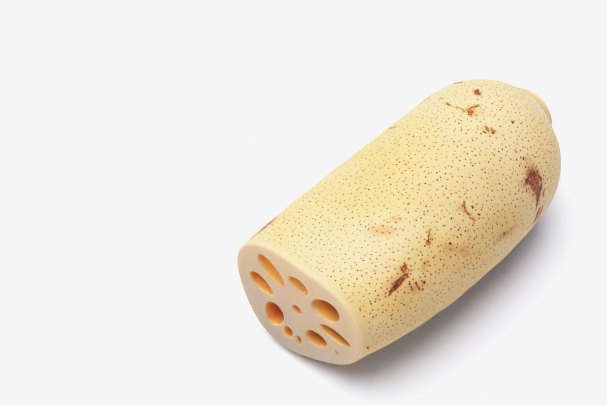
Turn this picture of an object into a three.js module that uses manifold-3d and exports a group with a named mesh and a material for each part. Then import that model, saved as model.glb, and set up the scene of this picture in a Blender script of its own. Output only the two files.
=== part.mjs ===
// Lotus root: one large segment, cut across at its near end and closed by its neck at the far end.
//
// Millimetres, +Z up. The root lies along Y: the cut face looks along -Y and the neck along +Y.
// The origin is under the middle of the root, on the surface that the root rests on.
import * as THREE from 'three';
import { mergeVertices } from 'three/addons/utils/BufferGeometryUtils.js';
import Module from 'manifold-3d';

// ---- driving dimensions ----

// The body, from the middle of the cut face to the end of the far shoulder.
const BODY_LENGTH = 165;
const HALF_WIDTH_AT_CUT = 32.1;
const HALF_WIDTH_AT_MIDDLE = 41.7;
const HALF_WIDTH_AT_FAR_END = 36.4;
const HEIGHT_PER_WIDTH = 0.952;

// The far shoulder starts at this share of the length; a higher power makes it squarer.
const SHOULDER_START = 0.76;
const SHOULDER_POWER = 2.35;

// The neck, where the next segment was joined on.
const NECK_RADIUS = 14.5;
const NECK_LENGTH = 5;
const NECK_FLARE = 2.6;
const NECK_FILLET_POWER = 3.4;

// The middle line bows sideways, ends a little to one side, and drops towards the cut.
const BOW = 4.9;
const END_SHIFT = 1.9;
const DROP_AT_CUT = 3.4;

// The cut is not quite square to the root.
const CUT_TURN = THREE.MathUtils.degToRad(3.4);
const CUT_LEAN = THREE.MathUtils.degToRad(6.7);
const CUT_FADE_POWER = 4;

// The outline of the cut face: broad lobes on a round, which fade out along the body.
const FACE_LOBES = [
  { count: 2, depth: 0.12, peak: THREE.MathUtils.degToRad(5) },
  { count: 3, depth: 0.08, peak: THREE.MathUtils.degToRad(20) },
  { count: 4, depth: 0.02, peak: THREE.MathUtils.degToRad(-25) },
];
const FACE_LOBE_REACH = 0.35;

// One long shallow furrow on the side away from the bow, as between two channels.
const FURROW_ANGLE = THREE.MathUtils.degToRad(205);
const FURROW_HALF_ANGLE = THREE.MathUtils.degToRad(13);
const FURROW_DEPTH = 0.035;
const FURROW_MIDDLE = 0.66;
const FURROW_REACH = 0.26;

// How far the soft underside is pressed flat where the root rests.
const RESTING_SINK = 0.6;

// The air channels, as they open on the cut face: each is an oval drawn from its fuller end to its
// other end, in x and z from the middle of the face, and so wide across. One small channel is in
// the middle, and the others ring it.
const CHANNELS = [
  { from: [-1, 1], to: [4, 0], wide: 4 },
  { from: [-23, 18], to: [-7, 9], wide: 8 },
  { from: [6, 15], to: [-5, 17], wide: 7 },
  { from: [24, 15], to: [9, 10], wide: 11 },
  { from: [15, 1], to: [32, 1], wide: 6 },
  { from: [25, -8], to: [27, -10], wide: 1.5 },
  { from: [8, -11], to: [20, -8], wide: 8 },
  { from: [4, -16], to: [5, -21], wide: 3 },
  { from: [-2, -15], to: [-2, -22], wide: 5 },
  { from: [-10, -6], to: [-12, -20], wide: 11 },
  { from: [-27, 3], to: [-13, -1], wide: 8 },
];
const CHANNEL_FULLNESS = 0.12;

// The channels run inside the body and close before the far shoulder.
const CHANNEL_TAPER_START = 0.62;
const CHANNEL_END = 0.84;
const CHANNEL_OVERRUN = 10;

// Facets.
const FACETS_AROUND = 56;
const BODY_ROWS = 24;
const SHOULDER_ROWS = 11;
const NECK_ROWS = 3;
const CHANNEL_FACETS = 16;
const CHANNEL_ROWS = 5;
const CHANNEL_TIP_ROWS = 4;

const SKIN = { color: 0xf3dda0, roughness: 0.55, metalness: 0 };

// ---- the body's form ----

/** Half the body's width at share s of its length: a parabola through three widths. */
function halfWidth(s) {
  const atCut = HALF_WIDTH_AT_CUT * (1 - s) * (1 - 2 * s);
  const atMiddle = HALF_WIDTH_AT_MIDDLE * 4 * s * (1 - s);
  const atFarEnd = HALF_WIDTH_AT_FAR_END * s * (2 * s - 1);
  return atCut + atMiddle + atFarEnd;
}

/** The middle line at share s: sideways bow, and height above the lowest point of a round body. */
function middleLine(s) {
  const x = BOW * 4 * s * (1 - s) + END_SHIFT * s;
  const z = HALF_WIDTH_AT_MIDDLE * HEIGHT_PER_WIDTH - DROP_AT_CUT * (1 - s) ** 2;
  return { x, z };
}

/** How far the surface stands in or out at an angle, as a share of the radius. */
function relief(s, angle) {
  const fade = Math.exp(-((s / FACE_LOBE_REACH) ** 2));
  let lobes = 0;
  for (const lobe of FACE_LOBES) {
    lobes += lobe.depth * Math.cos(lobe.count * (angle - lobe.peak));
  }
  const off = Math.atan2(Math.sin(angle - FURROW_ANGLE), Math.cos(angle - FURROW_ANGLE));
  const across = Math.exp(-((off / FURROW_HALF_ANGLE) ** 2));
  const along = Math.exp(-(((s - FURROW_MIDDLE) / FURROW_REACH) ** 2));
  return 1 + fade * lobes - FURROW_DEPTH * across * along;
}

/** How far the tilted cut moves a point along the root. It fades out away from the cut. */
function cutShift(s, x, zFromMiddle) {
  const slope = Math.tan(CUT_TURN) * x + Math.tan(CUT_LEAN) * zFromMiddle;
  return slope * (1 - s) ** CUT_FADE_POWER;
}

/** The radius where the shoulder meets the flared neck: a smooth maximum of the two. */
function joinNeck(bodyRadius, pastEnd) {
  const power = NECK_FILLET_POWER;
  const neckRadius = NECK_RADIUS + NECK_FLARE * (1 - pastEnd / NECK_LENGTH) ** 2;
  return (bodyRadius ** power + neckRadius ** power) ** (1 / power);
}

/** A point of the skin at share s, where closing (1 to 0) draws the shoulder in. */
function skinPoint(s, closing, angle, pastEnd) {
  const middle = middleLine(s);
  const form = relief(s, angle);
  const halfAcross = joinNeck(halfWidth(s) * closing * form, pastEnd);
  const halfUp = joinNeck(halfWidth(s) * HEIGHT_PER_WIDTH * closing * form, pastEnd);
  const x = middle.x + halfAcross * Math.cos(angle);
  const z = middle.z + halfUp * Math.sin(angle);
  const y = s * BODY_LENGTH + cutShift(s, x, z - middle.z) + pastEnd;
  return new THREE.Vector3(x, y, z);
}

/** The stations of the skin, from the cut to the end of the neck. */
function skinStations() {
  const stations = [];
  for (let row = 0; row < BODY_ROWS; row += 1) {
    stations.push({ s: (SHOULDER_START * row) / BODY_ROWS, closing: 1, pastEnd: 0 });
  }
  for (let row = 0; row <= SHOULDER_ROWS; row += 1) {
    const turn = ((Math.PI / 2) * row) / SHOULDER_ROWS;
    const share = Math.sin(turn) ** (2 / SHOULDER_POWER);
    const s = SHOULDER_START + (1 - SHOULDER_START) * share;
    stations.push({ s, closing: Math.cos(turn), pastEnd: 0 });
  }
  for (let row = 1; row <= NECK_ROWS; row += 1) {
    stations.push({ s: 1, closing: 0, pastEnd: (NECK_LENGTH * row) / NECK_ROWS });
  }
  return stations;
}

// ---- meshes and solids ----

/** A closed tube through rings of equal size, its two ends closed by a fan on their middle. */
function closedTube(rings) {
  const positions = [];
  const indices = [];
  const sides = rings[0].length;
  for (const ring of rings) {
    for (const point of ring) positions.push(point.x, point.y, point.z);
  }
  for (let row = 0; row + 1 < rings.length; row += 1) {
    for (let side = 0; side < sides; side += 1) {
      const next = (side + 1) % sides;
      const a = row * sides + side;
      const b = row * sides + next;
      const c = a + sides;
      const d = b + sides;
      indices.push(a, b, d, a, d, c);
    }
  }
  const addCap = (ring, firstIndex, facesBack) => {
    const middle = ring.reduce((sum, p) => sum.add(p), new THREE.Vector3()).divideScalar(sides);
    const middleIndex = positions.length / 3;
    positions.push(middle.x, middle.y, middle.z);
    for (let side = 0; side < sides; side += 1) {
      const here = firstIndex + side;
      const next = firstIndex + ((side + 1) % sides);
      if (facesBack) indices.push(middleIndex, next, here);
      else indices.push(middleIndex, here, next);
    }
  };
  addCap(rings[0], 0, true);
  addCap(rings[rings.length - 1], (rings.length - 1) * sides, false);
  const geometry = new THREE.BufferGeometry();
  geometry.setAttribute('position', new THREE.Float32BufferAttribute(positions, 3));
  geometry.setIndex(indices);
  return geometry;
}

/** The whole body without its channels. The rings turn so that the faces point out. */
function bodyGeometry() {
  const rings = skinStations().map(({ s, closing, pastEnd }) => {
    const ring = [];
    for (let side = 0; side < FACETS_AROUND; side += 1) {
      const angle = (-2 * Math.PI * side) / FACETS_AROUND;
      ring.push(skinPoint(s, closing, angle, pastEnd));
    }
    return ring;
  });
  return closedTube(rings);
}

/** One ring of a channel: an oval with one fuller end, at share s. It grows as the outline does there. */
function channelRing(channel, s, size, y) {
  const middle = middleLine(s);
  const fullEnd = new THREE.Vector2(...channel.from);
  const otherEnd = new THREE.Vector2(...channel.to);
  const centre = fullEnd.clone().add(otherEnd).divideScalar(2);
  const halfLong = fullEnd.clone().sub(centre);
  const halfWide = new THREE.Vector2(-halfLong.y, halfLong.x).setLength(channel.wide / 2);
  const ring = [];
  for (let side = 0; side < CHANNEL_FACETS; side += 1) {
    const angle = (-2 * Math.PI * side) / CHANNEL_FACETS;
    const along = Math.cos(angle) * size;
    const across = Math.sin(angle) * (1 + CHANNEL_FULLNESS * Math.cos(angle)) * size;
    const point = centre.clone().addScaledVector(halfLong, along).addScaledVector(halfWide, across);
    const outlineHere = halfWidth(s) * relief(s, point.angle());
    const outlineAtCut = HALF_WIDTH_AT_CUT * relief(0, point.angle());
    point.multiplyScalar(outlineHere / outlineAtCut);
    ring.push(new THREE.Vector3(middle.x + point.x, y, middle.z + point.y));
  }
  return ring;
}

/** A channel as a solid: from outside the cut face to its round blind end. */
function channelGeometry(channel) {
  const rings = [channelRing(channel, 0, 1, -CHANNEL_OVERRUN)];
  for (let row = 0; row < CHANNEL_ROWS; row += 1) {
    const s = (CHANNEL_TAPER_START * row) / CHANNEL_ROWS;
    rings.push(channelRing(channel, s, 1, s * BODY_LENGTH));
  }
  for (let row = 0; row < CHANNEL_TIP_ROWS; row += 1) {
    const turn = ((Math.PI / 2) * row) / CHANNEL_TIP_ROWS;
    const s = CHANNEL_TAPER_START + (CHANNEL_END - CHANNEL_TAPER_START) * Math.sin(turn);
    rings.push(channelRing(channel, s, Math.cos(turn), s * BODY_LENGTH));
  }
  return closedTube(rings);
}

/** A block under the resting surface, which cuts the pressed underside flat. */
function groundGeometry() {
  const size = 3 * BODY_LENGTH;
  const ground = new THREE.BoxGeometry(size, size, size);
  ground.translate(0, 0, RESTING_SINK - size / 2);
  return ground;
}

/** A closed geometry as a solid for joining and cutting. */
function toSolid(wasm, geometry) {
  const bare = geometry.clone();
  bare.deleteAttribute('normal');
  bare.deleteAttribute('uv');
  const merged = mergeVertices(bare);
  const vertProperties = new Float32Array(merged.attributes.position.array);
  const triVerts = new Uint32Array(merged.index.array);
  return new wasm.Manifold(new wasm.Mesh({ numProp: 3, vertProperties, triVerts }));
}

/** A solid back as a geometry with flat facets. */
function toGeometry(solid) {
  const mesh = solid.getMesh();
  const geometry = new THREE.BufferGeometry();
  geometry.setAttribute('position', new THREE.BufferAttribute(mesh.vertProperties, 3));
  geometry.setIndex(new THREE.BufferAttribute(mesh.triVerts, 1));
  geometry.computeVertexNormals();
  return geometry;
}

/** Moves a geometry so that the middle of its box's underside is at the origin. */
function standOnOrigin(geometry) {
  geometry.computeBoundingBox();
  const middle = geometry.boundingBox.getCenter(new THREE.Vector3());
  geometry.translate(-middle.x, -middle.y, -geometry.boundingBox.min.z);
  return geometry;
}

/** The root: the body less its channels and its pressed underside. */
function lotusRoot(wasm) {
  let solid = toSolid(wasm, bodyGeometry());
  solid = solid.subtract(toSolid(wasm, groundGeometry()));
  for (const channel of CHANNELS) {
    solid = solid.subtract(toSolid(wasm, channelGeometry(channel)));
  }
  const mesh = new THREE.Mesh(
    standOnOrigin(toGeometry(solid)),
    new THREE.MeshStandardMaterial(SKIN),
  );
  mesh.name = 'lotus_root';
  return mesh;
}

const wasm = await Module();
wasm.setup();

const root = new THREE.Group();
root.name = 'lotus_root_segment';
root.add(lotusRoot(wasm));

export default root;
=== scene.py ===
"""One large segment of lotus root, cut across at its near end, with its air channels open at the cut.

The surface is worked out in millimetres in the root's own frame, where Y runs along the root from the
middle of the cut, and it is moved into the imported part's frame at the end.
"""
import math

import bpy
import numpy as np
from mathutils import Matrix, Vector
from mathutils.geometry import delaunay_2d_cdt


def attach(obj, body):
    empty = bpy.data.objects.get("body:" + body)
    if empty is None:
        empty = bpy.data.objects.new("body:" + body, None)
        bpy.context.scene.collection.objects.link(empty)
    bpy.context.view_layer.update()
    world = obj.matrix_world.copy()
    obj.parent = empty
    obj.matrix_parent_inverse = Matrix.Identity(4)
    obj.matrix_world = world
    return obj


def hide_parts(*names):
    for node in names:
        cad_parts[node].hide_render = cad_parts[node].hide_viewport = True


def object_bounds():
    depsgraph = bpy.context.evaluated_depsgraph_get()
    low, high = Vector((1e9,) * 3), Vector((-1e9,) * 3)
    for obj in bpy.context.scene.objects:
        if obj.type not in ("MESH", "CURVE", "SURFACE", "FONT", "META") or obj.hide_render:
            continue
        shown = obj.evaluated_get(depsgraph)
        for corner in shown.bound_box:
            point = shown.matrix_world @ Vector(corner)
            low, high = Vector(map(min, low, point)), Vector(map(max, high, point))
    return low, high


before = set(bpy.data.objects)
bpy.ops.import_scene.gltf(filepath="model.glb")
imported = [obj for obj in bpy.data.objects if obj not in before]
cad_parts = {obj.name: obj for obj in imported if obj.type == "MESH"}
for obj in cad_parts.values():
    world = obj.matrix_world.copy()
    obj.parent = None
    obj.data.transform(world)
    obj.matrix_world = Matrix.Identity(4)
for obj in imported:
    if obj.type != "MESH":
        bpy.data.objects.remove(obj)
cad_low, cad_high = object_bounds()

NODE = "lotus_root"
MM = 0.001
# Keeps a division off nought.
TINY = 1e-9

# ---- the root's form, as the solid part has it ----

BODY_LENGTH = 165
HALF_WIDTH_AT_CUT = 32.1
HALF_WIDTH_AT_MIDDLE = 41.7
HALF_WIDTH_AT_FAR_END = 36.4
HEIGHT_PER_WIDTH = 0.952
SHOULDER_START = 0.76
SHOULDER_POWER = 2.35
NECK_RADIUS = 14.5
NECK_LENGTH = 5
NECK_FLARE = 2.6
NECK_FILLET_POWER = 3.4
BOW = 4.9
END_SHIFT = 1.9
DROP_AT_CUT = 3.4
CUT_TURN = math.radians(3.4)
CUT_LEAN = math.radians(6.7)
CUT_FADE_POWER = 4
RESTING_SINK = 0.6

# Broad lobes of the cut's outline: how many around, how deep, and the angle of a crest.
FACE_LOBES = [
    (2, 0.12, math.radians(5)),
    (3, 0.08, math.radians(20)),
    (4, 0.02, math.radians(-25)),
]
FACE_LOBE_REACH = 0.35
FURROW_ANGLE = math.radians(205)
FURROW_HALF_ANGLE = math.radians(13)
FURROW_DEPTH = 0.035
FURROW_MIDDLE = 0.66
FURROW_REACH = 0.26

# The air channels at the cut: each is an oval from its fuller end to its other end, in x and z from the
# face's middle, and so wide across.
CHANNELS = [
    ((-1, 1), (4, 0), 4),
    ((-23, 18), (-7, 9), 8),
    ((6, 15), (-5, 17), 7),
    ((24, 15), (9, 10), 11),
    ((15, 1), (32, 1), 6),
    ((25, -8), (27, -10), 1.5),
    ((8, -11), (20, -8), 8),
    ((4, -16), (5, -21), 3),
    ((-2, -15), (-2, -22), 5),
    ((-10, -6), (-12, -20), 11),
    ((-27, 3), (-13, -1), 8),
]
CHANNEL_FULLNESS = 0.12
CHANNEL_TAPER_START = 0.62
CHANNEL_END = 0.84

# ---- the fine surface ----

SIDES = 256
RIM_RADIUS = 1.3
RIM_ROWS = 7
BODY_STEP = 1.05
SHOULDER_ROWS = 50
NECK_ROWS = 7
NECK_EDGE = 1.4
NECK_EDGE_ROWS = 4
NECK_FACE_ROWS = 14
NECK_DISH = 1.2
NECK_PITS = 0.35
FACE_STEP = 1.25
MOUTH_RADIUS = 0.6
MOUTH_RADIUS_PER_WIDTH = 0.12
MOUTH_ROWS = 5
CHANNEL_WALL_ROWS = 26
CHANNEL_TIP_ROWS = 7
CHANNEL_WALL_BUNCHING = 1.8
CHANNEL_SIDE_LENGTH = 0.75
OVAL_GIRTH_PER_SPAN = 1.6

# Soft lumps: how high, how far apart, and the seed of their random waves.
WAVES = 14
SHORTEST_WAVE = 0.75
LONGEST_WAVE = 1.35
SKIN_LUMPS = [
    (0.3, 52, 1),
    (0.12, 17, 2),
    (0.03, 6, 3),
]
SKIN_SHRINK = 0.45
SKIN_LUMPS_FADE_ROWS = 6
MARK_DEPTH = 0.3
CHANNEL_LUMPS = (0.16, 9, 11)
CHANNEL_LUMPS_FADE = 6
NECK_LUMPS = (1, 5, 7)
FACE_LUMPS = (0.18, 16, 21)
# How far from an edge the cut face's lumps start, and over what length they grow to their full height.
FACE_LUMPS_FROM_RIM = (1, 4)
FACE_LUMPS_FROM_MOUTH = (0.5, 2)
RESTING_SOFTNESS = 0.25
# The pores lie on the far end's flat view where the shoulder has turned further than this.
END_VIEW_TURN = math.radians(45)
NET_TOLERANCE = 1e-6

# The mesh's materials, in the order of their slots.
SKIN, FLESH, LINING, NECK = range(4)

# The skin map's first number is millimetres along the root and its second millimetres around it,
# at this radius, from +X towards +Z. It is cut open under the root.
MAP_RADIUS = 38
MAP_START = math.radians(-90)

# Marks on the skin. Each is a stroke from one place to another, and so many millimetres
# wide. A place is its millimetres from the cut and its degrees around the root from +X towards +Z.
ROSY_BARK = [
    # The broad patch low on the far shoulder, which narrows to a tail, and the streaks below it.
    (118, 34, 118, 28, 7),
    (119, 29, 118, 19, 4),
    (118, 20, 116, 11, 1.5),
    (113, 34, 116, 36, 2),
    (123, 17, 122, 14, 1.5),
    (119, 5, 116, -3, 2.5),
    (122, 2, 119, -6, 2),
    (139, -6, 138, -14, 2),
    # The long scar near the cut.
    (23, 36, 33, 39, 2.4),
    # A spot high on the shoulder, and a scar beside the cut.
    (129, 103, 130, 105, 3),
    (8, 147, 17, 146, 3),
    # The sides that are turned away.
    (46, 206, 57, 209, 3),
    (98, -38, 103, -30, 4),
    (138, 202, 136, 214, 3),
    (70, 243, 79, 240, 3),
]
DARK_FIBRES = [
    # In the broad patch: two strands at its tip, its right edge, its left edge and its tail.
    (120, 36, 119, 33, 0.8),
    (122, 35, 122, 32, 0.8),
    (122, 31, 123, 26, 1),
    (122, 24, 119, 19, 1.2),
    (113, 36, 113, 34, 1),
    (118, 19, 116, 11, 1.2),
    (118, 5, 117, 3, 1.5),
    (117, 1, 115, -4, 1.5),
    # In the long scar: a dark knot, two rails and a thin hook.
    (24, 36, 26, 37, 1.5),
    (26, 38, 29, 39, 0.6),
    (27, 36, 31, 38, 0.6),
    (31, 39, 33, 39, 0.6),
    (20, 34, 22, 35, 0.7),
    (21, 36, 23, 36, 0.7),
    (132, 106, 131, 105, 0.8),
    (48, 206, 54, 208, 0.9),
    (137, 205, 137, 211, 0.9),
]
BROWN_SCRATCHES = [
    # Beside the long scar.
    (32, 42, 34, 44, 2),
    (31, 31, 31, 29, 0.8),
    (34, 29, 35, 25, 0.8),
    (50, 47, 51, 48, 1.8),
    (51, 49, 54, 52, 0.8),
    # Half way along: a curved scar.
    (77, 53, 75, 51, 0.8),
    (75, 51, 75, 45, 1),
    (75, 43, 76, 40, 0.6),
    # High on the shoulder, one after another across it.
    (118, 124, 118, 122, 1),
    (115, 115, 114, 109, 1.1),
    (114, 107, 115, 101, 0.8),
    (118, 97, 122, 95, 1.3),
    (117, 97, 115, 94, 2.5),
    (114, 80, 113, 77, 1.2),
    (115, 76, 115, 75, 1.6),
    (92, 140, 91, 136, 1),
    (91, 135, 92, 132, 1.2),
    (4, 149, 7, 148, 1.5),
    (136, 128, 136, 133, 3),
    (115, 142, 123, 139, 1.8),
    # The sides that are turned away.
    (30, 200, 33, 204, 1.2),
    (88, 190, 87, 196, 1.2),
    (60, -25, 66, -22, 1.2),
    (120, -50, 121, -42, 1.5),
]
DARK_DOTS = [
    (38, 28, 38, 28, 1.3),
    (34, 31, 34, 31, 0.9),
    (31, 33, 31, 33, 1),
    (36, 25, 36, 25, 0.8),
    (118, 48, 118, 48, 1.3),
    (127, 71, 127, 71, 1.3),
    (79, 47, 79, 47, 1.1),
    (80, 41, 80, 41, 0.8),
    (59, 38, 59, 38, 1),
    (90, 16, 90, 16, 1.3),
    (75, 52, 75, 52, 0.8),
    (75, 46, 75, 46, 1),
    (114, 94, 114, 94, 1),
    (116, 91, 116, 91, 0.8),
    (111, 78, 111, 78, 0.8),
    (114, 74, 114, 74, 1),
    (111, 29, 111, 29, 1),
    (3, 6, 4, 3, 0.8),
]
STAINS = [
    (22, 39, 32, 42, 5),
    (30, 31, 36, 28, 6),
    (50, 46, 54, 52, 3),
    (41, 36, 44, 38, 3),
    (56, 38, 60, 34, 4),
    (62, 30, 66, 26, 5),
    (83, 17, 97, 14, 4),
    (118, 48, 121, 46, 3),
    (110, 36, 112, 32, 4),
    (114, 98, 119, 92, 5),
    (91, 140, 92, 132, 3),
    (118, 37, 118, 20, 10),
    (74, 52, 76, 42, 3),
    (112, 80, 115, 74, 4),
    (46, 206, 57, 209, 6),
    (98, -38, 103, -30, 7),
]
PINK_PATCHES = [
    (36, 75, 40, 69, 7),
    (46, 73, 47, 71, 4),
]
YELLOW_PATCHES = [
    (38, 100, 78, 102, 42),
    (38, 94, 70, 80, 26),
    (44, 40, 70, 26, 20),
    (84, 26, 98, 16, 16),
    (18, 33, 28, 28, 16),
    (40, 150, 110, 150, 30),
    (30, 215, 60, 225, 26),
    (85, -40, 120, -35, 24),
]
PEACH_PATCHES = [
    (125, 90, 150, 70, 50),
    (122, 62, 134, 30, 40),
    (12, 80, 28, 70, 40),
]

SKIN_MARKS = {
    "rosy_bark": ROSY_BARK,
    "dark_fibres": DARK_FIBRES,
    "brown_scratches": BROWN_SCRATCHES,
    "dark_dots": DARK_DOTS,
    "stains": STAINS,
    "pink_patches": PINK_PATCHES,
    "yellow_patches": YELLOW_PATCHES,
    "peach_patches": PEACH_PATCHES,
}
# What faces other than the skin have for their place on the maps and their nearest mark: far from all.
NO_SKIN = (-50.0, 0.0, 0.0)
NO_PORES = (0.0, 0.0, 0.0)
NO_MARK = (9.0, 9.0, 0.0)

# ---- looks ----

CAMERA_AZIMUTH = math.radians(44.24)
CAMERA_ELEVATION = math.radians(50)
CAMERA_FIELD = math.radians(28)
CAMERA_AIM = (-0.0665, -0.0147, 0.0014)
CAMERA_DISTANCE = 0.6325
SENSOR_WIDTH = 36

KEY_STRENGTH = 3.9
KEY_ELEVATION = math.radians(74)
KEY_AZIMUTH = math.radians(25)
KEY_SOFTNESS = math.radians(60)
KEY_COLOUR = (1.0, 0.995, 0.985)
SKY_STRENGTH = 0.42
SKY_COLOUR = (0.9, 1.0, 1.3, 1)
CARD_COLOUR = (0.85, 0.85, 0.85, 1)
CARD_HALF = 3.0

# How the film takes light: scene brightness and its share of full white, with a soft toe and shoulder.
TONE_CURVE = [
    (0, 0),
    (0.15, 0.07),
    (0.3, 0.2),
    (0.5, 0.45),
    (0.7, 0.7),
    (0.9, 0.86),
    (1.02, 0.92),
    (1.2, 0.935),
    (1.5, 0.935),
]
# The film's fourth curve acts on all three colours.
ALL_COLOURS = 3

# The skin's patterns: how many millimetres wide each is, and how many finer ones lie in it.
SKIN_PATTERNS = {
    "clouds": (45, 2),
    "peach": (14, 3),
    "blush": (6, 3),
    "grain": (2.5, 2),
    "pore_strength": (15, 1),
    "shake": (1.8, 3),
}
# The skin's pores: how far apart, the smallest and largest radius, all in millimetres, and how dark.
PORES = [
    (2.65, 0.26, 0.42, 0.95),
    (1.9, 0.16, 0.28, 0.5),
]
PORE_SCATTER = 0.8
PORE_SOFTNESS = 0.3
PALEST_PORE = 0.65
PORE_TINT = "#3A4410"
# The marks: how many millimetres wide their mottles are, and the tints of halo, body and veins.
MARK_TINTS = [
    ("rosy_bark", 1.1, "#C29A74", "#AE785C", "#8A4628"),
    ("brown_scratches", 1.4, "#CCA674", "#B07C4A", "#7E5024"),
    ("dark_fibres", 1.4, "#B08462", "#8A4E2E", "#6C2E10"),
    ("dark_dots", 2, "#C29A60", "#7C4C1C", "#5E3410"),
]
# A mark's sides wander by so many millimetres, and its edge is broken by this share of its half width.
SIDE_WANDER = 1.2
EDGE_BREAK = 0.8

# A colour mix node's share, two colours and result, by number, because other sockets have their names.
SHARE, UNDER, OVER, MIXED = 0, 6, 7, 2


def linear(hex_colour):
    """An sRGB hex colour as linear red, green, blue and alpha."""
    steps = [int(hex_colour[i : i + 2], 16) / 255 for i in (1, 3, 5)]
    return [(s / 12.92 if s <= 0.04045 else ((s + 0.055) / 1.055) ** 2.4) for s in steps] + [1]


def per_mm(size):
    """The texture scale that makes a pattern's cell this many millimetres wide."""
    return 1 / (size * MM)


def add(tree, kind, inputs=(), **settings):
    """Adds one node. Settings are the node's own; an input is a value or another node's output."""
    node = tree.nodes.new(kind)
    for name, value in settings.items():
        setattr(node, name, value)
    for name, value in dict(inputs).items():
        if isinstance(value, bpy.types.NodeSocket):
            tree.links.new(value, node.inputs[name])
        else:
            node.inputs[name].default_value = value
    return node


# ---- form ----


def half_width(share):
    """Half the width at a share of the length: a parabola through those at cut, middle and far end."""
    at_cut = HALF_WIDTH_AT_CUT * (1 - share) * (1 - 2 * share)
    at_middle = HALF_WIDTH_AT_MIDDLE * 4 * share * (1 - share)
    at_far_end = HALF_WIDTH_AT_FAR_END * share * (2 * share - 1)
    return at_cut + at_middle + at_far_end


def middle_line(share):
    """The middle's x and z: a parabola sideways plus an even shift, and a drop that grows to the cut."""
    x = BOW * 4 * share * (1 - share) + END_SHIFT * share
    z = HALF_WIDTH_AT_MIDDLE * HEIGHT_PER_WIDTH - DROP_AT_CUT * (1 - share) ** 2
    return x, z


def relief(share, angle):
    """One, plus cosine lobes that fade from the cut as a bell curve, less one furrow.

    The furrow is a bell curve across and along.
    """
    lobes = sum(depth * np.cos(count * (angle - crest)) for count, depth, crest in FACE_LOBES)
    fade = np.exp(-((share / FACE_LOBE_REACH) ** 2))
    off = np.arctan2(np.sin(angle - FURROW_ANGLE), np.cos(angle - FURROW_ANGLE))
    across = np.exp(-((off / FURROW_HALF_ANGLE) ** 2))
    along = np.exp(-(((share - FURROW_MIDDLE) / FURROW_REACH) ** 2))
    return 1 + fade * lobes - FURROW_DEPTH * across * along


def cut_shift(share, x, up):
    """The tilted cut: a plane's slope across and up, which fades along the root as a power."""
    return (math.tan(CUT_TURN) * x + math.tan(CUT_LEAN) * up) * (1 - share) ** CUT_FADE_POWER


def join_neck(radius, past_end):
    """A smooth maximum of the body's radius and the neck's, which flares where it leaves the body."""
    neck = NECK_RADIUS + NECK_FLARE * (1 - past_end / NECK_LENGTH) ** 2
    return (radius**NECK_FILLET_POWER + neck**NECK_FILLET_POWER) ** (1 / NECK_FILLET_POWER)


def skin_section(share, closing, angle, past_end):
    """The skin's x and z: the middle line plus a round of the section's half width and half height."""
    middle_x, middle_z = middle_line(share)
    form = relief(share, angle)
    across = join_neck(half_width(share) * closing * form, past_end)
    upward = join_neck(half_width(share) * HEIGHT_PER_WIDTH * closing * form, past_end)
    return middle_x + across * np.cos(angle), middle_z + upward * np.sin(angle)


def grown(way, start, length):
    """A share that is nought up to the start and grows evenly to one over the length."""
    return np.clip((way - start) / length, 0, 1)


def place(share, x, z, past_end=0.0):
    """Points from x and z: y is the share of the length plus the cut's shift and any way past the end."""
    y = share * BODY_LENGTH + cut_shift(share, x, z - middle_line(share)[1]) + past_end
    return np.stack(np.broadcast_arrays(x, y, z), axis=-1)


def lumps(points, kind):
    """Soft lumps: a sum of plane waves with random directions and phases, about one wavelength long."""
    height, wavelength, seed = kind
    random = np.random.default_rng(seed)
    ways = random.normal(size=(WAVES, 3))
    lengths = wavelength * random.uniform(SHORTEST_WAVE, LONGEST_WAVE, (WAVES, 1))
    ways /= np.linalg.norm(ways, axis=1, keepdims=True) * lengths
    phases = random.uniform(0, 2 * np.pi, WAVES)
    return height * np.sin(2 * np.pi * points @ ways.T + phases).sum(axis=-1) / math.sqrt(WAVES)


def grid_normals(points):
    """Unit normals of a grid that closes around: its differences along and around, crossed."""
    along = np.gradient(points, axis=0)
    around = np.roll(points, -1, axis=1) - np.roll(points, 1, axis=1)
    normals = np.cross(along, around)
    return normals / np.maximum(np.linalg.norm(normals, axis=2, keepdims=True), TINY)


def inward_of(x, z):
    """Unit steps across a closed outline to its inside: its own direction turned by a right angle."""
    step_x = np.roll(x, -1) - np.roll(x, 1)
    step_z = np.roll(z, -1) - np.roll(z, 1)
    length = np.hypot(step_x, step_z)
    return -step_z / length, step_x / length


def stroke_ellipses(marks):
    """Strokes as ellipses on the skin map: their middles, directions, half lengths and half widths.

    Each reaches half its width past the two places that it joins.
    """
    along, around, to_along, to_around, width = np.array(marks, float).T
    start = np.column_stack([along, np.radians(around) * MAP_RADIUS])
    end = np.column_stack([to_along, np.radians(to_around) * MAP_RADIUS])
    run = np.hypot(*(end - start).T)
    direction = np.where(run[:, None] > 0, (end - start) / np.maximum(run, TINY)[:, None], (1, 0))
    return (start + end) / 2, direction, (run + width) / 2, width / 2


def on_stroke(place_on_map, middle, direction, half_long, half_wide):
    """A place as a stroke sees it: its way along the stroke and across it, where one is the edge."""
    away = place_on_map - middle
    lengthwise = (away * direction).sum(axis=-1) / half_long
    crosswise = (away[..., 1] * direction[..., 0] - away[..., 0] * direction[..., 1]) / half_wide
    return lengthwise, crosswise


def mark_closeness(along, around, marks):
    """How near the skin is to the nearest mark: a bell curve of the distance, with one in its middle."""
    place_on_map = np.stack(np.broadcast_arrays(along, around), axis=-1)[..., None, :]
    lengthwise, crosswise = on_stroke(place_on_map, *stroke_ellipses(marks))
    return np.exp(-(lengthwise**2) - crosswise**2).max(axis=-1)


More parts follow.
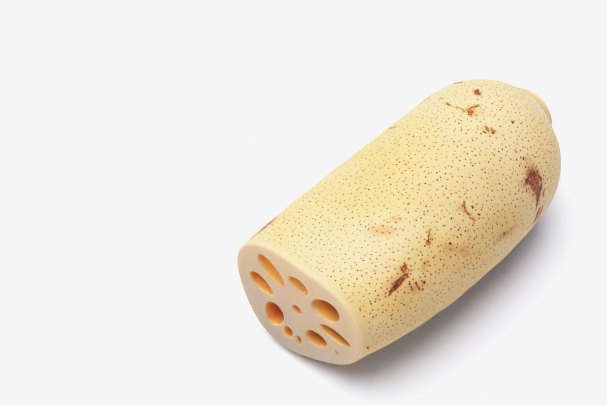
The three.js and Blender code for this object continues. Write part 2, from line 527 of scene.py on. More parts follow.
def seen_by_nearest(corners, marks):
    """Each skin face's four corners as the stroke nearest to the face sees them.

    The numbers are the way along the stroke, the way across it, and how many half widths a
    millimetre is.
    """
    faces = corners.reshape(-1, 4, 3)[..., :2]
    ellipses = stroke_ellipses(marks)
    nearest = np.hypot(*on_stroke(faces.mean(axis=1)[:, None, :], *ellipses)).argmin(axis=1)
    middle, direction, half_long, half_wide = (part[nearest][:, None] for part in ellipses)
    lengthwise, crosswise = on_stroke(faces, middle, direction, half_long, half_wide)
    return np.stack(np.broadcast_arrays(lengthwise, crosswise, 1 / half_wide), axis=-1).reshape(-1, 3)


def neck_end_rings(angle):
    """The neck's end as rings from its side to its middle, and how far along the skin map they lie.

    The edge is a quarter round. Inside it the face sinks as a sine, with pits in it.
    """
    edge_turn = np.linspace(0, np.pi / 2, NECK_EDGE_ROWS + 1)[1:]
    face_radius = np.linspace(NECK_RADIUS - NECK_EDGE, 0, NECK_FACE_ROWS + 1)[1:-1]
    radius = np.concatenate([NECK_RADIUS - NECK_EDGE * (1 - np.cos(edge_turn)), face_radius])[:, None]
    edge_past = NECK_LENGTH - NECK_EDGE * (1 - np.sin(edge_turn))
    past = np.concatenate([edge_past, np.full(len(face_radius), NECK_LENGTH)])
    middle_x, middle_z = middle_line(1.0)
    rings = place(
        np.ones((len(radius), 1)),
        middle_x + radius * np.cos(angle),
        middle_z + radius * np.sin(angle),
        past[:, None],
    )
    dish = np.clip(1 - radius / (NECK_RADIUS - NECK_EDGE), 0, 1)
    pits = NECK_PITS * dish * (1 + lumps(rings, NECK_LUMPS))
    rings[..., 1] -= NECK_DISH * np.sin(dish * np.pi / 2) + pits
    return rings, BODY_LENGTH + past + NECK_RADIUS - radius[:, 0]


def skin_grid():
    """The skin from the cut to the neck's end, and each row's and column's place on the skin map.

    Rows are stations along the root and columns are angles. The rim is a quarter round: its inset is one
    less the cosine of the turn and its depth one less the sine. The shoulder closes as a cosine while the
    share grows as a power of the sine. Soft lumps lift the skin along its normals, and the rosy marks
    sink it.
    """
    angle = MAP_START + 2 * np.pi * np.arange(SIDES) / SIDES
    rim_turn = np.linspace(np.pi / 2, 0, RIM_ROWS, endpoint=False)
    inset = RIM_RADIUS * (1 - np.cos(rim_turn))
    rim_share = RIM_RADIUS * (1 - np.sin(rim_turn)) / BODY_LENGTH
    body_rows = round(SHOULDER_START * BODY_LENGTH / BODY_STEP)
    body_share = np.linspace(RIM_RADIUS / BODY_LENGTH, SHOULDER_START, body_rows, endpoint=False)
    turn = np.linspace(0, np.pi / 2, SHOULDER_ROWS)
    shoulder_share = SHOULDER_START + (1 - SHOULDER_START) * np.sin(turn) ** (2 / SHOULDER_POWER)
    past = np.linspace(0, NECK_LENGTH - NECK_EDGE, NECK_ROWS + 1)[1:]

    share = np.concatenate([rim_share, body_share, shoulder_share, np.ones(NECK_ROWS)])[:, None]
    closing = np.concatenate([np.ones(RIM_ROWS + body_rows), np.cos(turn), np.zeros(NECK_ROWS)])[:, None]
    past_end = np.concatenate([np.zeros(RIM_ROWS + body_rows + SHOULDER_ROWS), past])[:, None]
    x, z = skin_section(share, closing, angle[None, :], past_end)
    for row in range(RIM_ROWS):
        right, up = inward_of(x[row], z[row])
        x[row] += right * inset[row]
        z[row] += up * inset[row]
    body = place(share, x, z, past_end)
    neck_end, along_neck_end = neck_end_rings(angle)
    points = np.concatenate([body, neck_end])

    along_body = share[:, 0] * BODY_LENGTH + past_end[:, 0]
    map_along = np.concatenate([along_body, along_neck_end])
    map_around = MAP_RADIUS * (MAP_START + 2 * np.pi * np.arange(SIDES + 1) / SIDES)
    rows = np.arange(len(points))
    on_skin = grown(rows, RIM_ROWS, SKIN_LUMPS_FADE_ROWS) * (rows < len(body))
    raised = sum(lumps(points, wave) for wave in SKIN_LUMPS)
    sunk = MARK_DEPTH * mark_closeness(map_along[:, None], map_around[None, :-1], ROSY_BARK)
    points += grid_normals(points) * ((raised - SKIN_SHRINK - sunk) * on_skin[:, None])[..., None]
    return points, map_along, map_around


def face_corners(grid):
    """The four corners of each face of a grid, in the order that its faces have them."""
    return np.stack([grid[:-1, :-1], grid[1:, :-1], grid[1:, 1:], grid[:-1, 1:]], axis=2)


def unroll(points, map_around):
    """The pore map's corners, face by face, so that round pores stay round.

    On the body it is the skin unrolled: the length run from the cut, and the way around at the map's
    radius. Where the shoulder turns to face the far end, it is the end's flat view: x and z.
    """
    run = np.linalg.norm(np.diff(points, axis=0), axis=2).mean(axis=1)
    run = np.concatenate([[0], np.cumsum(run)])
    middle = points.mean(axis=1, keepdims=True)
    radius = np.linalg.norm((points - middle)[..., [0, 2]], axis=2).mean(axis=1)
    faces_end = np.diff(radius) / np.diff(run) < -math.sin(END_VIEW_TURN)
    unrolled = np.stack(np.broadcast_arrays(run[:, None], map_around[None, :]), axis=-1)
    end_view = np.concatenate([points, points[:, :1]], axis=1)[..., [0, 2]]
    chosen = np.where(faces_end[:, None, None, None], face_corners(end_view), face_corners(unrolled))
    return np.concatenate([chosen, np.zeros((*chosen.shape[:3], 1))], axis=3).reshape(-1, 3)


def rest_flat(points):
    """Presses the underside onto the surface: a height becomes the mean of itself and its rounded size."""
    above = points[..., 2] - RESTING_SINK
    points[..., 2] = RESTING_SINK + (above + np.sqrt(above**2 + RESTING_SOFTNESS**2)) / 2
    return points


def channel_rows(mouth_radius):
    """A channel's rows from mouth to tip: each one's depth, its share of the oval's size, and its flare.

    The mouth is a quarter round that flares outwards. The wall's rows lie closer near the mouth. The tip
    closes as a cosine while it runs on as a sine.
    """
    mouth_turn = np.linspace(0, np.pi / 2, MOUTH_ROWS, endpoint=False)
    mouth_depth = mouth_radius * (1 - np.cos(mouth_turn))
    mouth_flare = mouth_radius * (1 - np.sin(mouth_turn))
    wall = np.linspace(0, 1, CHANNEL_WALL_ROWS, endpoint=False) ** CHANNEL_WALL_BUNCHING
    wall_depth = mouth_radius + (CHANNEL_TAPER_START * BODY_LENGTH - mouth_radius) * wall
    tip_turn = np.linspace(0, np.pi / 2, CHANNEL_TIP_ROWS, endpoint=False)
    tip_share = CHANNEL_TAPER_START + (CHANNEL_END - CHANNEL_TAPER_START) * np.sin(tip_turn)
    depth = np.concatenate([mouth_depth, wall_depth, BODY_LENGTH * tip_share])
    size = np.concatenate([np.ones(MOUTH_ROWS + CHANNEL_WALL_ROWS), np.cos(tip_turn)])
    flare = np.concatenate([mouth_flare, np.zeros(CHANNEL_WALL_ROWS + CHANNEL_TIP_ROWS)])
    return depth, size[:, None], flare[:, None]


def channel_oval(full_end, other_end, wide):
    """An oval with one fuller end: its middle, and its outline around that.

    It is a cosine along its length and a sine across, and the sine swells with the cosine.
    """
    middle = (np.array(full_end) + other_end) / 2
    half_long = np.array(full_end) - middle
    half_length = math.hypot(*half_long)
    half_wide = np.array([-half_long[1], half_long[0]]) / half_length * wide / 2
    girth = (2 * half_length + wide) * OVAL_GIRTH_PER_SPAN
    sides = 4 * round(girth / CHANNEL_SIDE_LENGTH / 4)
    angle = 2 * np.pi * np.arange(sides) / sides
    on_length = np.cos(angle)[:, None] * half_long
    on_width = (np.sin(angle) * (1 + CHANNEL_FULLNESS * np.cos(angle)))[:, None] * half_wide
    return middle, on_length + on_width


def channel_grid(channel):
    """One channel's wall from its rounded mouth to its closed end, and each row's depth in millimetres.

    Its oval grows as the outline does in its direction and follows the middle line, with soft lumps.
    """
    full_end, other_end, wide = channel
    depth, size, flare = channel_rows(min(MOUTH_RADIUS, MOUTH_RADIUS_PER_WIDTH * wide))
    middle, oval = channel_oval(full_end, other_end, wide)
    inward_x, inward_z = inward_of(oval[:, 0], oval[:, 1])
    across = middle[0] + oval[:, 0] * size
    upward = middle[1] + oval[:, 1] * size
    bearing = np.arctan2(upward, across)
    share = (depth / BODY_LENGTH)[:, None]
    outline = half_width(share) * relief(share, bearing)
    growth = outline / (HALF_WIDTH_AT_CUT * relief(0.0, bearing))
    middle_x, middle_z = middle_line(share)
    x = middle_x + growth * across - inward_x * flare
    z = middle_z + growth * upward - inward_z * flare
    points = place(share, x, z)
    in_depth = grown(depth, 0, CHANNEL_LUMPS_FADE)[:, None]
    outwards = in_depth * (lumps(points, CHANNEL_LUMPS) - CHANNEL_LUMPS[0])
    points[..., 0] -= outwards * inward_x * size
    points[..., 2] -= outwards * inward_z * size
    return points, depth


def inside(x, z, outline):
    """Whether points are in a closed outline: a ray to the right crosses it an odd number of times."""
    next_corner = np.roll(outline, -1, axis=0)
    low, high = outline[:, 1], next_corner[:, 1]
    crosses = (z[:, None] >= low) != (z[:, None] >= high)
    rise = np.where(high == low, 1, high - low)
    at = outline[:, 0] + (z[:, None] - low) / rise * (next_corner[:, 0] - outline[:, 0])
    return (crosses & (x[:, None] < at)).sum(axis=1) % 2 == 1


def distance_to(x, z, outline):
    """The distance to an outline's nearest corner."""
    return np.hypot(x[:, None] - outline[:, 0], z[:, None] - outline[:, 1]).min(axis=1)


def cut_face(rim, mouths):
    """The cut flesh between the rim and the mouths: a triangle net over rows of staggered points."""
    low, high = rim.min(axis=0), rim.max(axis=0)
    # How far apart the rows are in a net of triangles with three equal sides.
    row_step = FACE_STEP * math.sqrt(0.75)
    x, z = np.meshgrid(np.arange(low[0], high[0], FACE_STEP), np.arange(low[1], high[1], row_step))
    x = (x + FACE_STEP / 2 * (np.arange(len(z))[:, None] % 2)).ravel()
    z = z.ravel()
    keep = inside(x, z, rim) & (distance_to(x, z, rim) > FACE_STEP / 2)
    for mouth in mouths:
        keep &= ~inside(x, z, mouth) & (distance_to(x, z, mouth) > FACE_STEP / 2)
    between = np.column_stack([x[keep], z[keep]])
    outlines = [rim, *mouths]
    corners = np.concatenate([*outlines, between])
    edges = []
    first = 0
    for outline in outlines:
        here = first + np.arange(len(outline))
        edges += np.column_stack([here, np.roll(here, -1)]).tolist()
        first += len(outline)
    flat = [Vector(corner) for corner in corners.tolist()]
    # Kind 0 fills the hull, so what lies in a mouth or outside the rim is dropped afterwards.
    _, _, triangles, sources, _, _ = delaunay_2d_cdt(flat, edges, [], 0, NET_TOLERANCE)
    source = np.array([given[0] for given in sources])
    net = source[np.array(triangles)]
    middle = corners[net].mean(axis=1)
    solid = inside(middle[:, 0], middle[:, 1], rim)
    for mouth in mouths:
        solid &= ~inside(middle[:, 0], middle[:, 1], mouth)
    return between, net[solid]


def on_the_cut(between, rim, mouths):
    """The net's inner points on the tilted cut, with soft lumps clear of every edge."""
    x, z = between.T
    points = np.column_stack([x, cut_shift(0.0, x, z - middle_line(0.0)[1]), z])
    clear = grown(distance_to(x, z, rim), *FACE_LUMPS_FROM_RIM)
    for mouth in mouths:
        clear *= grown(distance_to(x, z, mouth), *FACE_LUMPS_FROM_MOUTH)
    points[:, 1] += clear * lumps(points, FACE_LUMPS)
    return points


def corner_maps(skin, map_along, map_around, corner_count):
    """What the materials read at every corner of every face. The skin's corners come first."""
    places = np.stack(np.broadcast_arrays(map_along[:, None], map_around[None, :], 0.0), axis=-1)
    skin_corners = face_corners(places).reshape(-1, 3)
    read = {
        "skin_map": (skin_corners, NO_SKIN),
        "pore_map": (unroll(skin, map_around), NO_PORES),
    }
    for name, marks in SKIN_MARKS.items():
        read[name] = (seen_by_nearest(skin_corners, marks), NO_MARK)
    maps = {}
    for name, (on_skin, elsewhere) in read.items():
        maps[name] = np.tile(elsewhere, (corner_count, 1))
        maps[name][: len(on_skin)] = on_skin
    return maps


def tube_faces(first, rows, sides, faces_in):
    """Four-sided faces between a grid's rows, and a fan from its last row to the point after it."""
    index = first + np.arange(rows * sides).reshape(rows, sides)
    ahead = np.roll(index, -1, axis=1)
    quads = np.stack([index[:-1], index[1:], ahead[1:], ahead[:-1]], axis=-1).reshape(-1, 4)
    fan = np.stack([index[-1], np.full(sides, first + rows * sides), ahead[-1]], axis=-1)
    if faces_in:
        return quads[:, ::-1], fan[:, ::-1]
    return quads, fan


def build_root():
    """Joins skin, cut face and channels in one closed mesh, with what the materials read on it."""
    skin, map_along, map_around = skin_grid()
    rows = len(skin)
    channels = [channel_grid(channel) for channel in CHANNELS]
    rim = skin[0][:, [0, 2]]
    mouths = [grid[0][:, [0, 2]] for grid, _ in channels]
    between, net = cut_face(rim, mouths)

    points = [skin.reshape(-1, 3), skin[-1].mean(axis=0, keepdims=True)]
    past_neck_edge = np.clip(map_along - BODY_LENGTH - NECK_LENGTH, 0, None)
    depths = [np.repeat(past_neck_edge, SIDES), [NECK_RADIUS]]
    quads, fan = tube_faces(0, rows, SIDES, False)
    neck_rows = NECK_EDGE_ROWS + NECK_FACE_ROWS - 1
    row_material = np.where(np.arange(rows - 1) < rows - 1 - neck_rows, SKIN, NECK)
    row_material[: RIM_ROWS // 2] = FLESH
    all_quads = [quads]
    quad_materials = [np.repeat(row_material, SIDES)]
    all_triangles = [fan]
    triangle_materials = [np.full(SIDES, NECK)]
    outline_index = [np.arange(SIDES)]
    count = rows * SIDES + 1
    for grid, depth in channels:
        wall_rows, sides = grid.shape[:2]
        points += [grid.reshape(-1, 3), grid[-1].mean(axis=0, keepdims=True)]
        depths += [np.repeat(depth, sides), depth[-1:]]
        quads, fan = tube_faces(count, wall_rows, sides, True)
        all_quads.append(quads)
        quad_materials.append(np.full(len(quads), LINING))
        all_triangles.append(fan)
        triangle_materials.append(np.full(len(fan), LINING))
        outline_index.append(count + np.arange(sides))
        count += wall_rows * sides + 1
    points.append(on_the_cut(between, rim, mouths))
    depths.append(np.zeros(len(between)))
    outline_index.append(count + np.arange(len(between)))
    net = np.concatenate(outline_index)[net]
    all_triangles.append(net)
    triangle_materials.append(np.full(len(net), FLESH))

    points = rest_flat(np.concatenate(points))
    quads = np.concatenate(all_quads)
    triangles = np.concatenate(all_triangles)
    return {
        "points": points,
        "quads": quads,
        "triangles": triangles,
        "materials": np.concatenate(quad_materials + triangle_materials),
        "depth": np.concatenate(depths),
        "rim": distance_to(points[:, 0], points[:, 2], rim),
        **corner_maps(skin, map_along, map_around, quads.size + triangles.size),
    }


def to_part_frame(points):
    """Moves the root so that its box's middle across and along, and its foot, are the solid part's.

    Nothing reaches past the solid part's box.
    """
    low, high = points.min(axis=0), points.max(axis=0)
    part_low = np.array(cad_low) / MM
    part_high = np.array(cad_high) / MM
    shift = (part_low + part_high) / 2 - (low + high) / 2
    shift[2] = part_low[2] - low[2]
    return np.clip(points + shift, part_low, part_high) * MM


def make_object(name, shape, materials):
    """Puts the worked-out arrays into one mesh object."""
    mesh = bpy.data.meshes.new(name)
    quads, triangles = shape["quads"], shape["triangles"]
    corners = np.concatenate([quads.ravel(), triangles.ravel()])
    totals = np.concatenate([np.full(len(quads), 4), np.full(len(triangles), 3)])
    mesh.vertices.add(len(shape["points"]))
    mesh.vertices.foreach_set("co", to_part_frame(shape["points"]).ravel())
    mesh.loops.add(len(corners))
    mesh.loops.foreach_set("vertex_index", corners)
    mesh.polygons.add(len(totals))
    mesh.polygons.foreach_set("loop_start", np.cumsum(totals) - totals)
    mesh.polygons.foreach_set("material_index", shape["materials"])
    mesh.polygons.foreach_set("use_smooth", np.ones(len(totals), bool))
    for key in ("depth", "rim"):
        mesh.attributes.new(key, "FLOAT", "POINT").data.foreach_set("value", shape[key])
    for key in ("skin_map", "pore_map", *SKIN_MARKS):
        corner_values = mesh.attributes.new(key, "FLOAT_VECTOR", "CORNER").data
        corner_values.foreach_set("vector", shape[key].ravel())
    mesh.update(calc_edges=True)
    mesh.validate()
    for material in materials:
        mesh.materials.append(material)
    made = bpy.data.objects.new(name, mesh)
    bpy.context.scene.collection.objects.link(made)
    return made


# ---- materials ----


def new_material(name):
    """An empty material and its node tree."""
    material = bpy.data.materials.new(name)
    material.use_nodes = True
    material.node_tree.nodes.clear()
    return material, material.node_tree


def nearest_mark(tree, name, wander):
    """The distance to the nearest mark's middle, where one is its edge. Its sides wander."""
    seen = add(tree, "ShaderNodeAttribute", attribute_name=name).outputs["Vector"]
    per_half_width = add(tree, "ShaderNodeSeparateXYZ", {0: seen}).outputs[2]
    by = {0: wander, 1: per_half_width}
    sideways = add(tree, "ShaderNodeMath", by, operation="MULTIPLY").outputs[0]
    shift = add(tree, "ShaderNodeCombineXYZ", {1: sideways}).outputs[0]
    flat = {0: seen, 1: (1, 1, 0), 2: shift}
    moved = add(tree, "ShaderNodeVectorMath", flat, operation="MULTIPLY_ADD").outputs[0]
    return add(tree, "ShaderNodeVectorMath", {0: moved}, operation="LENGTH").outputs["Value"]


def broken(tree, nearest, noise):
    """A mark's distance made uneven: the noise moves its edge in and out."""
    by = {0: noise, 1: 2 * EDGE_BREAK, 2: -EDGE_BREAK}
    shift = add(tree, "ShaderNodeMath", by, operation="MULTIPLY_ADD").outputs[0]
    return add(tree, "ShaderNodeMath", {0: nearest, 1: shift}, operation="ADD").outputs[0]


def pore_layers(tree, along, height, strength):
    """The skin's pores: each cell of the pore map holds one, with a radius and a darkness of its own.

    Some stretches of them are darker. They fade low down, a painted softening for the shade there, and end
    beside the cut and at the neck.
    """
    pore_map = add(tree, "ShaderNodeAttribute", attribute_name="pore_map").outputs["Vector"]
    shares = []
    for value, start, full, least in (
        (along, 2, 5, 0),
        (along, BODY_LENGTH, BODY_LENGTH - 4, 0),
        (strength, 0.35, 0.6, 0.8),
        # Painted light: the pores fade low down, standing in for how the shade there softens them.
        (height, 34 * MM, 58 * MM, 0.6),
    ):
        settings = {"Value": value, "From Min": start, "From Max": full, "To Min": least}
        shares.append(add(tree, "ShaderNodeMapRange", settings).outputs[0])
    layers = []
    for spacing, smallest, largest, darkness in PORES:
        settings = {"Vector": pore_map, "Scale": 1 / spacing, "Randomness": PORE_SCATTER}
        cells = add(tree, "ShaderNodeTexVoronoi", settings, voronoi_dimensions="2D").outputs
        kind = add(tree, "ShaderNodeSeparateXYZ", {0: cells["Color"]}).outputs
        settings = {"Value": kind[0], "To Min": smallest / spacing, "To Max": largest / spacing}
        radius = add(tree, "ShaderNodeMapRange", settings).outputs[0]
        by = {0: cells["Distance"], 1: radius}
        on_pore = add(tree, "ShaderNodeMath", by, operation="DIVIDE").outputs[0]
        settings = {"Value": on_pore, "From Min": 1 + PORE_SOFTNESS, "From Max": 1 - PORE_SOFTNESS}
        pore = add(tree, "ShaderNodeMapRange", settings).outputs[0]
        settings = {"Value": kind[1], "To Min": PALEST_PORE * darkness, "To Max": darkness}
        dark = add(tree, "ShaderNodeMapRange", settings).outputs[0]
        for share in (dark, *shares):
            pore = add(tree, "ShaderNodeMath", {0: pore, 1: share}, operation="MULTIPLY").outputs[0]
        layers.append((pore, 0, 1, 1, PORE_TINT))
    return layers


def mark_layers(tree, spot, wander, marks, mottle_size, halo, body, vein):
    """One kind of mark: a faint halo, its mottled body with a broken edge, and dark veins in it."""
    settings = {"Vector": spot, "Scale": per_mm(mottle_size), "Detail": 3}
    mottles = add(tree, "ShaderNodeTexNoise", settings).outputs[0]
    nearest = broken(tree, nearest_mark(tree, marks, wander), mottles)
    settings = {"Value": mottles, "From Min": 0.46, "From Max": 0.58}
    dark = add(tree, "ShaderNodeMapRange", settings).outputs[0]
    settings = {"Value": nearest, "From Min": 1.2, "From Max": 0.9}
    core = add(tree, "ShaderNodeMapRange", settings).outputs[0]
    dark = add(tree, "ShaderNodeMath", {0: dark, 1: core}, operation="MULTIPLY").outputs[0]
    return [(nearest, 2, 0.9, 0.55, halo), (nearest, 1.3, 0.8, 0.9, body), (dark, 0, 1, 0.85, vein)]


def skin_material():
    """Washed lotus root skin: thin, matt and slightly waxy, cream over yellow with peach clouds.

    Pores show as dark pinpoints. Old scars are rosy bark with darker fibres, and each has a rusty halo.
    """
    material, tree = new_material("washed_lotus_root_skin")
    spot = add(tree, "ShaderNodeTexCoord").outputs["Object"]
    skin_map = add(tree, "ShaderNodeAttribute", attribute_name="skin_map").outputs["Vector"]
    along = add(tree, "ShaderNodeSeparateXYZ", {0: skin_map}).outputs[0]
    height = add(tree, "ShaderNodeSeparateXYZ", {0: spot}).outputs[2]
    noises = {}
    for name, (size, detail) in SKIN_PATTERNS.items():
        settings = {"Vector": spot, "Scale": per_mm(size), "Detail": detail}
        noises[name] = add(tree, "ShaderNodeTexNoise", settings).outputs[0]
    by = {0: noises["shake"], 1: 2 * SIDE_WANDER, 2: -SIDE_WANDER}
    wander = add(tree, "ShaderNodeMath", by, operation="MULTIPLY_ADD").outputs[0]
    stains = broken(tree, nearest_mark(tree, "stains", wander), noises["blush"])

    # Each layer is a value, where it starts and where it is full, its strength there, and its tint.
    layers = [
        (noises["clouds"], 0.42, 0.66, 0.5, "#D0B37B"),
        (noises["peach"], 0.5, 0.75, 0.4, "#D2B591"),
        (noises["grain"], 0.5, 0.8, 0.2, "#BE9D68"),
        (nearest_mark(tree, "yellow_patches", wander), 1.5, 0.1, 0.6, "#D3B078"),
        (nearest_mark(tree, "peach_patches", wander), 1.4, 0.2, 0.45, "#DEC39F"),
        (along, 4, 1.5, 0.6, "#D4BB9C"),
        (nearest_mark(tree, "pink_patches", wander), 1.5, 0.4, 0.7, "#CC9A70"),
        (stains, 1.6, 0.2, 0.42, "#B58C57"),
    ]
    for marks in MARK_TINTS:
        layers += mark_layers(tree, spot, wander, *marks)
    pores = pore_layers(tree, along, height, noises["pore_strength"])
    layers += pores

    colour = linear("#D6BD93")
    for value, start, full, strength, tint in layers:
        settings = {"Value": value, "From Min": start, "From Max": full, "To Max": strength}
        share = add(tree, "ShaderNodeMapRange", settings, interpolation_type="SMOOTHSTEP").outputs[0]
        mix = {SHARE: share, UNDER: colour, OVER: linear(tint)}
        colour = add(tree, "ShaderNodeMix", mix, data_type="RGBA").outputs[MIXED]

    # The grain makes the sheen uneven, and the wider pores are pits in it.
    settings = {"Value": noises["grain"], "To Min": 0.42, "To Max": 0.58}
    roughness = add(tree, "ShaderNodeMapRange", settings).outputs[0]
    wide_pores = pores[0][0]
    by = {0: wide_pores, 1: -0.8, 2: noises["grain"]}
    unevenness = add(tree, "ShaderNodeMath", by, operation="MULTIPLY_ADD").outputs[0]
    settings = {"Height": unevenness, "Distance": 0.12 * MM, "Strength": 1.0}
    bump = add(tree, "ShaderNodeBump", settings).outputs[0]
    shader = add(tree, "ShaderNodeBsdfPrincipled", {
        "Base Color": colour,
        "Roughness": roughness,
        "IOR": 1.4,
        "Subsurface Weight": 0.25,
        "Subsurface Radius": (1.0, 0.5, 0.2),
        "Subsurface Scale": 1.5 * MM,
        "Normal": bump,
    })
    add(tree, "ShaderNodeOutputMaterial", {"Surface": shader.outputs[0]})
    return material


def flesh_material():
    """Freshly cut lotus root flesh: wet starchy white with a peach cast, which light sinks into.

    It is creamier towards the skin. Painted light makes it creamier high up, and painted shade makes it
    greyer low down.
    """
    material, tree = new_material("cut_lotus_root_flesh")
    spot = add(tree, "ShaderNodeTexCoord").outputs["Object"]
    height = add(tree, "ShaderNodeSeparateXYZ", {0: spot}).outputs[2]
    rim = add(tree, "ShaderNodeAttribute", attribute_name="rim").outputs["Fac"]
    settings = {"Vector": spot, "Scale": per_mm(9), "Detail": 3}
    clouds = add(tree, "ShaderNodeTexNoise", settings).outputs[0]
    # Starch grains are too fine to show, so they are drawn as coarse as this.
    settings = {"Vector": spot, "Scale": per_mm(0.7), "Detail": 2}
    grain = add(tree, "ShaderNodeTexNoise", settings).outputs[0]
    colour = linear("#C6AE97")
    for value, start, full, strength, tint in (
        (clouds, 0.35, 0.7, 1, "#C8B08C"),
        # Painted light: the flesh is creamier high up, where more light falls.
        (height, 46 * MM, 64 * MM, 0.7, "#D6BC98"),
        (rim, 3.5, 0.5, 0.7, "#CFB698"),
        # Painted shade: the flesh is greyer low down, towards the floor.
        (height, 42 * MM, 6 * MM, 0.8, "#AEA295"),
    ):
        settings = {"Value": value, "From Min": start, "From Max": full, "To Max": strength}
        share = add(tree, "ShaderNodeMapRange", settings).outputs[0]
        mix = {SHARE: share, UNDER: colour, OVER: linear(tint)}
        colour = add(tree, "ShaderNodeMix", mix, data_type="RGBA").outputs[MIXED]
    settings = {"Height": grain, "Distance": 0.08 * MM, "Strength": 1.0}
    bump = add(tree, "ShaderNodeBump", settings).outputs[0]
    shader = add(tree, "ShaderNodeBsdfPrincipled", {
        "Base Color": colour,
        "Roughness": 0.4,
        "IOR": 1.4,
        "Subsurface Weight": 0.5,
        "Subsurface Radius": (1.0, 0.5, 0.25),
        "Subsurface Scale": 4 * MM,
        "Normal": bump,
    })
    add(tree, "ShaderNodeOutputMaterial", {"Surface": shader.outputs[0]})
    return material


def lining_material():
    """The channels' lining: a smooth wet skin that glows with the light in the flesh.

    It is pale at the mouth, golden inside and amber where it is deep. Painted shade makes the golden part
    duller low down and brown on the +X side.
    """
    material, tree = new_material("lotus_root_channel_lining")
    spot = add(tree, "ShaderNodeTexCoord").outputs["Object"]
    across, _, height = add(tree, "ShaderNodeSeparateXYZ", {0: spot}).outputs
    depth = add(tree, "ShaderNodeAttribute", attribute_name="depth").outputs["Fac"]
    settings = {"Vector": spot, "Scale": per_mm(6), "Detail": 2}
    clouds = add(tree, "ShaderNodeTexNoise", settings).outputs[0]
    by = {0: clouds, 1: 2, 2: depth}
    uneven = add(tree, "ShaderNodeMath", by, operation="MULTIPLY_ADD").outputs[0]
    shares = []
    for value, start, full, strength in (
        (uneven, 1, 5, 1),
        (uneven, 7, 24, 1),
        # Painted shade: the lining is duller low down and browner on the +X side, where less light
        # reaches.
        (height, 52 * MM, 24 * MM, 0.9),
        (across, 2 * MM, 26 * MM, 0.9),
    ):
        settings = {"Value": value, "From Min": start, "From Max": full, "To Max": strength}
        shares.append(add(tree, "ShaderNodeMapRange", settings).outputs[0])
    inside_mouth, deep, painted_shade_low, painted_shade_far_side = shares
    by = {0: painted_shade_low, 1: inside_mouth}
    painted_shade_low = add(tree, "ShaderNodeMath", by, operation="MULTIPLY").outputs[0]
    by = {0: painted_shade_far_side, 1: inside_mouth}
    painted_shade_far_side = add(tree, "ShaderNodeMath", by, operation="MULTIPLY").outputs[0]
    colour = linear("#C0A689")
    for share, tint in (
        (inside_mouth, "#FFD482"),
        (deep, "#F6BE6E"),
        # Painted shade, low down and on the +X side.
        (painted_shade_low, "#E0B878"),
        (painted_shade_far_side, "#B48C56"),
    ):
        mix = {SHARE: share, UNDER: colour, OVER: linear(tint)}
        colour = add(tree, "ShaderNodeMix", mix, data_type="RGBA").outputs[MIXED]
    shader = add(tree, "ShaderNodeBsdfPrincipled", {
        "Base Color": colour,
        "Roughness": 0.4,
        "IOR": 1.4,
        "Subsurface Weight": 1.0,
        "Subsurface Radius": (1.0, 0.6, 0.25),
        "Subsurface Scale": 12 * MM,
    })
    add(tree, "ShaderNodeOutputMaterial", {"Surface": shader.outputs[0]})
    return material


def neck_material():
    """The neck's end: skin at its edge, and dried pith where the next segment was, tan to dark brown."""
    material, tree = new_material("dried_lotus_root_neck")
    spot = add(tree, "ShaderNodeTexCoord").outputs["Object"]
    inwards = add(tree, "ShaderNodeAttribute", attribute_name="depth").outputs["Fac"]
    settings = {"Vector": spot, "Scale": per_mm(4), "Detail": 4}
    clouds = add(tree, "ShaderNodeTexNoise", settings).outputs[0]
    by = {0: clouds, 1: 3, 2: inwards}
    uneven = add(tree, "ShaderNodeMath", by, operation="MULTIPLY_ADD").outputs[0]
    settings = {"Value": uneven, "From Min": 2, "From Max": 4}
    dried = add(tree, "ShaderNodeMapRange", settings).outputs[0]
    settings = {"Value": clouds, "From Min": 0.45, "From Max": 0.65}
    dark = add(tree, "ShaderNodeMapRange", settings).outputs[0]
    mix = {SHARE: dark, UNDER: linear("#A77F53"), OVER: linear("#6E4528")}
    pith = add(tree, "ShaderNodeMix", mix, data_type="RGBA").outputs[MIXED]
    mix = {SHARE: dried, UNDER: linear("#D8BE98"), OVER: pith}
    colour = add(tree, "ShaderNodeMix", mix, data_type="RGBA").outputs[MIXED]
    settings = {"Height": clouds, "Distance": 0.5 * MM, "Strength": 1.0}
    bump = add(tree, "ShaderNodeBump", settings).outputs[0]
    settings = {"Base Color": colour, "Roughness": 0.7, "Normal": bump}
    shader = add(tree, "ShaderNodeBsdfPrincipled", settings)
    add(tree, "ShaderNodeOutputMaterial", {"Surface": shader.outputs[0]})
    return material


def floor_material():
    """Plain matt white card."""
    material, tree = new_material("white_card")
    shader = add(tree, "ShaderNodeBsdfDiffuse", {"Color": CARD_COLOUR})
    add(tree, "ShaderNodeOutputMaterial", {"Surface": shader.outputs[0]})
    return material


# ---- the scene ----


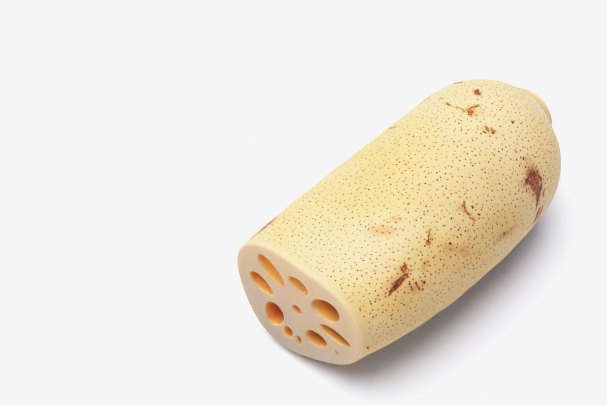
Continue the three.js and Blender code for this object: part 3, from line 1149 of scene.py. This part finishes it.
def make_floor():
    """A square of card under the root."""
    half = CARD_HALF
    corners = [(-half, -half, 0), (half, -half, 0), (half, half, 0), (-half, half, 0)]
    mesh = bpy.data.meshes.new("floor")
    mesh.from_pydata(corners, [], [(0, 1, 2, 3)])
    mesh.materials.append(floor_material())
    floor = bpy.data.objects.new("floor", mesh)
    bpy.context.scene.collection.objects.link(floor)


def make_camera():
    """A level camera at its azimuth and elevation round the point it looks at."""
    data = bpy.data.cameras.new("camera")
    data.sensor_width = SENSOR_WIDTH
    data.lens = SENSOR_WIDTH / 2 / math.tan(CAMERA_FIELD / 2)
    camera = bpy.data.objects.new("camera", data)
    flat = math.cos(CAMERA_ELEVATION)
    back = Vector((
        math.sin(CAMERA_AZIMUTH) * flat,
        -math.cos(CAMERA_AZIMUTH) * flat,
        math.sin(CAMERA_ELEVATION),
    ))
    camera.location = Vector(CAMERA_AIM) + back * CAMERA_DISTANCE
    camera.rotation_euler = (-back).to_track_quat("-Z", "Y").to_euler()
    bpy.context.scene.collection.objects.link(camera)
    bpy.context.scene.camera = camera


def make_light():
    """One broad soft key light from high on the -X side, and an even pale blue sky."""
    data = bpy.data.lights.new("key", "SUN")
    data.energy = KEY_STRENGTH
    data.angle = KEY_SOFTNESS
    data.color = KEY_COLOUR
    key = bpy.data.objects.new("key", data)
    key.rotation_euler = (0, KEY_ELEVATION - math.pi / 2, KEY_AZIMUTH)
    bpy.context.scene.collection.objects.link(key)
    world = bpy.data.worlds.new("sky")
    world.use_nodes = True
    sky = world.node_tree.nodes["Background"]
    sky.inputs["Color"].default_value = SKY_COLOUR
    sky.inputs["Strength"].default_value = SKY_STRENGTH
    bpy.context.scene.world = world


def set_film():
    """Standard colours through one tone curve, so that the white card stays just under full white."""
    view = bpy.context.scene.view_settings
    view.view_transform = "Standard"
    view.use_curve_mapping = True
    film = view.curve_mapping
    film.use_clip = False
    film.extend = "HORIZONTAL"
    points = film.curves[ALL_COLOURS].points
    points[0].location = TONE_CURVE[0]
    points[1].location = TONE_CURVE[-1]
    for brightness, white in TONE_CURVE[1:-1]:
        points.new(brightness, white)
    film.update()


make_camera()
make_light()
set_film()
make_floor()
root = make_object(
    "lotus_root_segment",
    build_root(),
    [skin_material(), flesh_material(), lining_material(), neck_material()],
)
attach(root, "root")
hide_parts(NODE)
